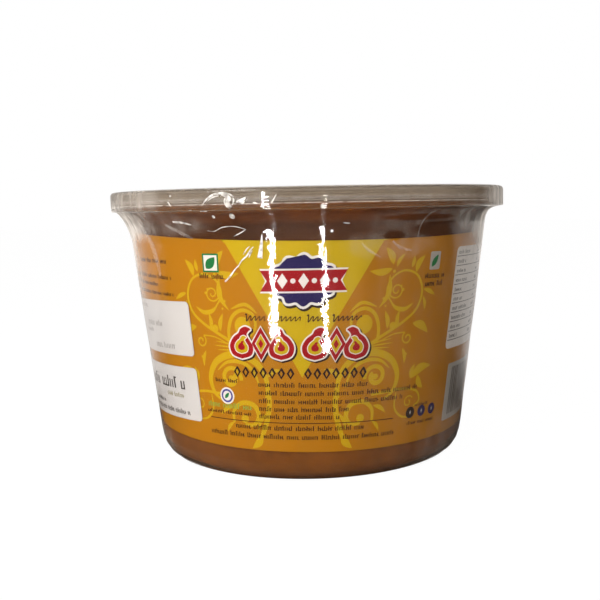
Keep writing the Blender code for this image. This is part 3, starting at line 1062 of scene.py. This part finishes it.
def film_path(angle):
    """Radius and height along the film at one angle: its foot, wall, bridge to the rim, and rim."""
    slack = slackness(angle)
    leave_share = 1 - (3.2 + 2.0 * slack) * MM / (WALL_END[1] - WALL_START[1])
    leave = between(WALL_START, WALL_END, leave_share)
    inner = (WALL_END[0] + (0.1 + 0.55 * slack) * MM, WALL_END[1] + (2.9 - 2.2 * slack) * MM)
    outer = (WALL_END[0] + (0.9 + 2.2 * slack) * MM, WALL_END[1] + 3.7 * MM)
    land = (LIP_FOOT[0], LIP_FOOT[1] + 1.3 * slack * MM)
    path = finer(FILM_LINE[:FILM_WALL + 1], 0.8 * MM)
    path += [between(WALL_START, leave, step / FILM_WALL_ROWS) for step in range(1, FILM_WALL_ROWS + 1)]
    for step in range(1, FILM_BRIDGE_ROWS + 1):
        t = step / FILM_BRIDGE_ROWS
        weights = ((1 - t) ** 3, 3 * t * (1 - t) ** 2, 3 * t * t * (1 - t), t ** 3)
        bends = (leave, inner, outer, land)
        path.append(tuple(sum(weight * bend[i] for weight, bend in zip(weights, bends)) for i in (0, 1)))
    path += [between(land, LIP_TOP, step / FILM_RIM_ROWS) for step in range(1, FILM_RIM_ROWS + 1)]
    return path + finer(rounded(FILM_LINE[FILM_LIP + 1:], 0.3 * MM), 0.6 * MM)[1:]


def soft_patch(angle, height, patch, softness=0.75):
    """One inside a patch, falling softly to nothing at its border. Degrees and millimetres."""
    turn = (angle - patch[0] + 180) % 360 - 180
    reach = math.hypot(turn / patch[2], (height - patch[1]) / patch[3])
    share = min(max((1.25 - reach) / softness, 0.0), 1.0)
    return share * share * (3 - 2 * share)


def film_haze(angle, height, radius):
    """How hazy the film is: more where it stands off, nearly clear where it clings."""
    degrees, level = math.degrees(angle), height / MM
    haze = 0.005
    for patch in HAZY_PATCHES:
        haze = max(haze, patch[4] * soft_patch(degrees, level, patch))
    for patch in TIGHT_PATCHES:
        haze *= 1 - 0.95 * soft_patch(degrees, level, patch, 0.3)
    spot = Vector((radius * math.sin(angle) / MM, radius * math.cos(angle) / MM, level * 0.35))
    return haze * (0.80 + 0.45 * noise.noise(spot * 0.35) + 0.2 * noise.noise(spot * 1.1))


def make_film():
    """One thin sheet shrunk round tub and lid, with slack patches and ripples as real relief."""
    front = [math.radians(-90 + 180 * step / FILM_FRONT_COLUMNS) for step in range(FILM_FRONT_COLUMNS)]
    back = [math.radians(90 + 180 * step / FILM_BACK_COLUMNS) for step in range(FILM_BACK_COLUMNS)]
    bm = bmesh.new()
    loose = bm.verts.layers.float.new("loose")
    shine = bm.verts.layers.float.new("shine")
    crinkled = (WALL_END[1] - 0.3 * MM, LIP_FOOT[1] - 0.3 * MM)
    columns = []
    for angle in front + back:
        column = []
        turn = (angle + math.pi) % math.tau - math.pi
        label_top = label_span(turn)[1] if abs(turn) < EDGE_ANGLES[-1] else 0.0
        for radius, height in film_path(angle):
            tight = FILM_HUG * (1 + min(max(FOOT_TOP - height / MM, 0.0) / 3, 1.0))
            spot = around(radius - tight * MM, angle, height - (FILM_HUG * MM if height > LIP_FOOT[1] else 0))
            taut = 0.25 if height > label_top + 0.3 * MM else 1.0
            swell = noise.noise(spot * 90) * BROAD_SWELL + noise.noise(spot * 380) * FINE_SWELL * taut
            spot.x *= 1 + swell * MM / radius
            spot.y *= 1 + swell * MM / radius
            vert = bm.verts.new(spot)
            vert[loose] = min(max(film_haze(angle, height, radius), 0.0), 1.0)
            vert[shine] = 0.02 if crinkled[0] < height < crinkled[1] and math.cos(angle) > 0.3 else 1.0
            column.append(vert)
        columns.append(column)
    join_columns(bm, columns + columns[:1])
    piece = add_piece("shrink_film", bm, make_film_material(), smooth_angle=180)
    piece.visible_shadow = False
    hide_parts("film_sleeve")


def film_spot(x, y, lift):
    """A spot on the film: degrees from the front, and millimetres up."""
    angle = math.radians(x)
    rising = [(r, z) for r, z in film_path(angle) if z <= LIP_TOP[1]]
    radius = float(np.interp(y * MM, [z for _, z in rising], [r for r, _ in rising]))
    radius += (lift + 0.02 - FILM_HUG) * MM
    return around(radius, angle, y * MM)


def make_folds():
    """Painted highlights: white glints drawn on the film's creases and blisters, and softer ripples, partly
    doubled-film haze and partly painted sheen.
    """
    sharp, soft = [], []
    # Painted glints: white strokes along creases, and the glint on the lid's edge.
    for knots, widths in (
        (((-24.3, 61.2), (-22.6, 62.7), (-21, 64.6), (-19.4, 66.1)), (0.45, 0.15, 0.15)),
        (((-19.9, 65.4), (-18.6, 67.3), (-17, 68.7), (-15.6, 70.6), (-14.9, 71.2)), (0.1, 0.1, 0.35)),
        (((-18, 69), (-16.9, 70.6), (-15.9, 71.4)), (0.1, 0.1, 0.2)),
        (((-16.4, 68.2), (-15.8, 69.5), (-15.3, 70.2)), (0.15, 0.15, 0.2)),
        (((-12.3, 74.6), (-12.7, 71.4), (-13.3, 68)), (0.2, 1.5, 0)),
        (((-39.4, 78.5), (-36, 78.2), (-33.1, 77.6)), (0.5, 0.2, 0.25)),
        (((-28.3, 75.9), (-26, 75.7), (-23.3, 76.8), (-19.7, 77), (-16.6, 76.1)), (0.08, 0.1, 0.12)),
        (((-20.4, 74.2), (-18.6, 75), (-16.6, 76.1)), (0.1, 0.1, 0.2)),
        (((-26.3, 83), (-24.9, 84.7), (-23.3, 85.8), (-21, 86.3), (-18.9, 86), (-17.7, 85.2)),
         (0.12, 0.2, 0.45)),
        (((-24.6, 84.3), (-23.2, 85.2), (-21.6, 85.6)), (0.1, 0.1, 0.25)),
        (((-21, 85.9), (-19.4, 85.4), (-18.6, 84.5)), (0.2, 0.7, 0.5)),
        (((-18.6, 84.7), (-19.3, 83.9), (-19, 83.1), (-18.4, 82.3)), (0.8, 0.6, 0.3)),
        (((-19.9, 84.9), (-20, 84), (-19.5, 82.9), (-18.9, 82)), (0.2, 0.5, 0.35)),
        (((-17.9, 85), (-17.7, 84.1), (-18.2, 82.9)), (0.25, 0.2, 0.2)),
        (((-19.4, 85.1), (-19.4, 84), (-18.9, 82.6)), (0.7, 0.4, 0.7)),
        (((-17.1, 83.8), (-16.2, 84), (-15.2, 84.5), (-14.6, 85.1)), (0.3, 0.1, 0.7)),
        (((-16.6, 84.4), (-15.8, 83.5), (-14.9, 83.9)), (0.1, 0.1, 0.5)),
        (((-12.9, 83.6), (-11.8, 83.2)), (0.15, 0.15, 0.3)),
        (((-30.9, 81.8), (-29.9, 81.8)), (0.3, 0.3, 0)),
        (((-27.9, 81.5), (-25.9, 81.4)), (0.4, 0.3, 0)),
        (((-36.9, 84.2), (-36, 83)), (0.25, 0.3, 0)),
        (((-7.2, 85.6), (-7.9, 84.2), (-8.4, 83.4)), (0.15, 0.35, 0)),
        (((9.5, 77.5), (11.3, 77.3)), (0.3, 0.2, 0)),
    ):
        sharp += brush(smooth_path(knots, 5), *widths)
    # Painted glints: small white blisters.
    for x, y, size in (
        (-19.6, 79.9, 0.75), (-25.0, 79.8, 0.45), (3.7, 82.2, 0.55), (6.5, 75.3, 0.4), (-36.1, 85.9, 0.3)
    ):
        sharp.append(disc(x, y, size, sides=14))
    # Softer whitish ripples: partly hazy doubled film, partly painted sheen.
    for knots, width in (
        (((-57.4, 78.5), (-54.6, 74), (-52.9, 71), (-51.4, 66.5), (-50.7, 62)), 2.6),
        (((-43, 77.6), (-38.5, 75.6), (-33.8, 73.6)), 1.2),
        (((38.6, 81.2), (35, 79), (32.9, 76), (32.2, 72.8)), 0.5),
        (((62, 78), (58, 74), (56.5, 70.5)), 0.6),
        (((31.5, 86.4), (31.6, 81.8)), 0.25),
        (((44.5, 86.4), (44.6, 82)), 0.25),
        (((14.5, 72), (17, 69.5), (20.5, 67.5)), 0.8),
        (((24, 72), (26.5, 70), (30.5, 69)), 0.9),
    ):
        soft += brush(smooth_path(knots, 6), width * 0.4, width * 0.4, width * 0.6)
    dice = random.Random(21)
    for start, end in ((75, 178), (-178, -72)):
        for _ in range(16):
            x, y = dice.uniform(start, end), dice.uniform(70, 79)
            run, rise = dice.uniform(-5, 5), dice.uniform(-4, 1.5)
            bend = dice.uniform(-0.8, 0.8)
            knots = ((x, y), (x + run / 2 + bend, y + rise / 2), (x + run, y + rise))
            (soft if dice.random() < 0.5 else sharp).extend(brush(smooth_path(knots, 5), 0.15, 0.15, 0.4))
    wrap_shapes("film_crease_glints", sharp, 0, make_glint_and_fold_material("sharp_glint", 1.0), film_spot)
    wrap_shapes("film_ripples_and_sheen", soft, 0, make_glint_and_fold_material("soft_fold_sheen", 0.20), film_spot)


# ---- stage, light and camera


def glowing(tree, kind, rgb, strength):
    """An Emission or a Background of this colour and strength."""
    return add_node(tree, kind, {"Color": rgb, "Strength": strength}).outputs[0]


def make_stage():
    """The pale floor. Gloss mirrors it dim, and brighter behind the tub, like the end of a studio sweep."""
    bpy.ops.mesh.primitive_plane_add(size=8.0, location=(0, 0, -0.0001))
    floor = bpy.context.active_object
    floor.name = "floor"
    material, tree = new_material("pale_floor")
    glow = glowing(tree, "Emission", (1, 1, 1), 0.985)
    pale = add_node(tree, "AddShader", {0: diffuse(tree, (0.05, 0.05, 0.05)), 1: glow})
    behind = ranged(tree, place_along(tree, "Y"), 0.03, 0.12, 0.0, 0.7)
    sweep = glowing(tree, "Emission", (1, 0.97, 0.94), behind)
    mirrored_floor = add_node(tree, "AddShader", {0: diffuse(tree, (0.14, 0.09, 0.06)), 1: sweep})
    rays = add_node(tree, "LightPath").outputs
    bounce = diffuse(tree, (0.80, 0.76, 0.72))
    unseen = mixed(tree, rays["Is Diffuse Ray"], mirrored_floor.outputs[0], bounce)
    show(tree, mixed(tree, rays["Is Camera Ray"], unseen, pale.outputs[0]))
    floor.data.materials.append(material)


def new_lamp(name, size, power, tint=(1, 1, 1)):
    """A rectangular soft light that the camera doesn't see."""
    light = bpy.data.lights.new(name, "AREA")
    light.shape = "RECTANGLE"
    light.size, light.size_y = size
    light.energy = power
    light.color = tint
    lamp = bpy.data.objects.new(name, light)
    lamp.visible_camera = False
    bpy.context.scene.collection.objects.link(lamp)
    return lamp


def add_light(name, place, target, size, power, tint=(1, 1, 1)):
    """A soft light aimed at a target."""
    lamp = new_lamp(name, size, power, tint)
    lamp.location = place
    lamp.rotation_euler = (Vector(target) - Vector(place)).to_track_quat("-Z", "Y").to_euler()
    return lamp


def add_strip(name, near, far, width, power):
    """A narrow light lying on the floor, face up, which shows only as a streak in the gloss."""
    start, end = Vector((*near, 0.002)), Vector((*far, 0.002))
    along = (end - start).normalized()
    up = Vector((0, 0, 1))
    lamp = new_lamp(name, (width, (end - start).length), power)
    facing_up = Matrix((along.cross(up), along, -up)).transposed().to_4x4()
    lamp.matrix_world = Matrix.Translation((start + end) / 2) @ facing_up
    show_in_gloss_only(lamp)


def show_in_gloss_only(lamp):
    for ray in ("visible_camera", "visible_diffuse", "visible_transmission"):
        setattr(lamp, ray, False)


def make_world():
    """White to the camera, and dimmer to light, to gloss and through clear plastic."""
    world = bpy.data.worlds.new("studio")
    bpy.context.scene.world = world
    world.use_nodes = True
    tree = world.node_tree
    tree.nodes.clear()
    rays = add_node(tree, "LightPath").outputs
    seen = glowing(tree, "Background", (1.0, 0.97, 0.94), 0.20)
    for ray, rgb, strength in (
        ("Is Glossy Ray", (1.0, 0.93, 0.86), 0.04),
        ("Is Transmission Ray", (1.0, 0.95, 0.90), 0.26),
        ("Is Camera Ray", (1, 1, 1), 1.0),
    ):
        seen = mixed(tree, rays[ray], seen, glowing(tree, "Background", rgb, strength))
    show(tree, seen, "World")


def make_lights():
    """Soft studio light from the left and the front, and the lights that show only in the gloss."""
    key = add_light("key_light", (-0.58, -0.62, 0.62), (0, 0, 0.04), (0.42, 0.42), 2.1, (1.0, 0.98, 0.95))
    front = add_light("front_light", (-0.16, -0.97, 0.42), (0, 0, 0.04), (0.5, 0.3), 4.1, (1.0, 0.97, 0.93))
    low = add_light("low_light", (-0.34, -0.36, 0.010), (0, 0, 0.0), (0.34, 0.16), 1.35, (1.0, 0.95, 0.90))
    side = add_light("side_light", (-0.80, 0.10, 0.12), (0, 0, 0.06), (0.3, 0.3), 0.2, (1.0, 0.98, 0.96))
    for lamp in (key, front, low, side):
        lamp.visible_transmission = False
    for lamp in (front, low, side):
        lamp.visible_glossy = False
    back = add_light("backdrop", (0, 0.55, 0.25), (0, 0, 0.10), (1.8, 0.55), 1.3, (1.0, 0.94, 0.87))
    add_strip("left_streak", (-0.058, -0.160), (-0.110, -0.325), 0.0120, 0.43)
    add_strip("right_streak", (0.0215, -0.145), (0.053, -0.335), 0.0085, 0.34)
    lid = add_light("lid_streak", (-0.190, -0.478, 0.090), (-0.012, -0.065, 0.084), (0.013, 0.06), 0.26)
    for lamp in (back, lid):
        show_in_gloss_only(lamp)


def make_camera():
    camera = bpy.data.cameras.new("camera")
    camera.lens = CAMERA_LENS
    camera.sensor_width = 36.0
    camera.shift_x = CAMERA_SHIFT
    camera.clip_start = 0.01
    eye = bpy.data.objects.new("camera", camera)
    turn = Matrix.Rotation(math.pi / 2 - CAMERA_PITCH, 4, "X") @ Matrix.Rotation(CAMERA_ROLL, 4, "Z")
    eye.matrix_world = Matrix.Translation((0, -CAMERA_DISTANCE, CAMERA_HEIGHT)) @ turn
    bpy.context.scene.collection.objects.link(eye)
    bpy.context.scene.camera = eye


make_camera()
make_tub()
make_lid()
make_jaggery()
make_label()
make_print()
make_stickers()
make_film()
make_folds()
make_stage()
make_world()
make_lights()
bpy.context.scene.view_settings.view_transform = "Standard"
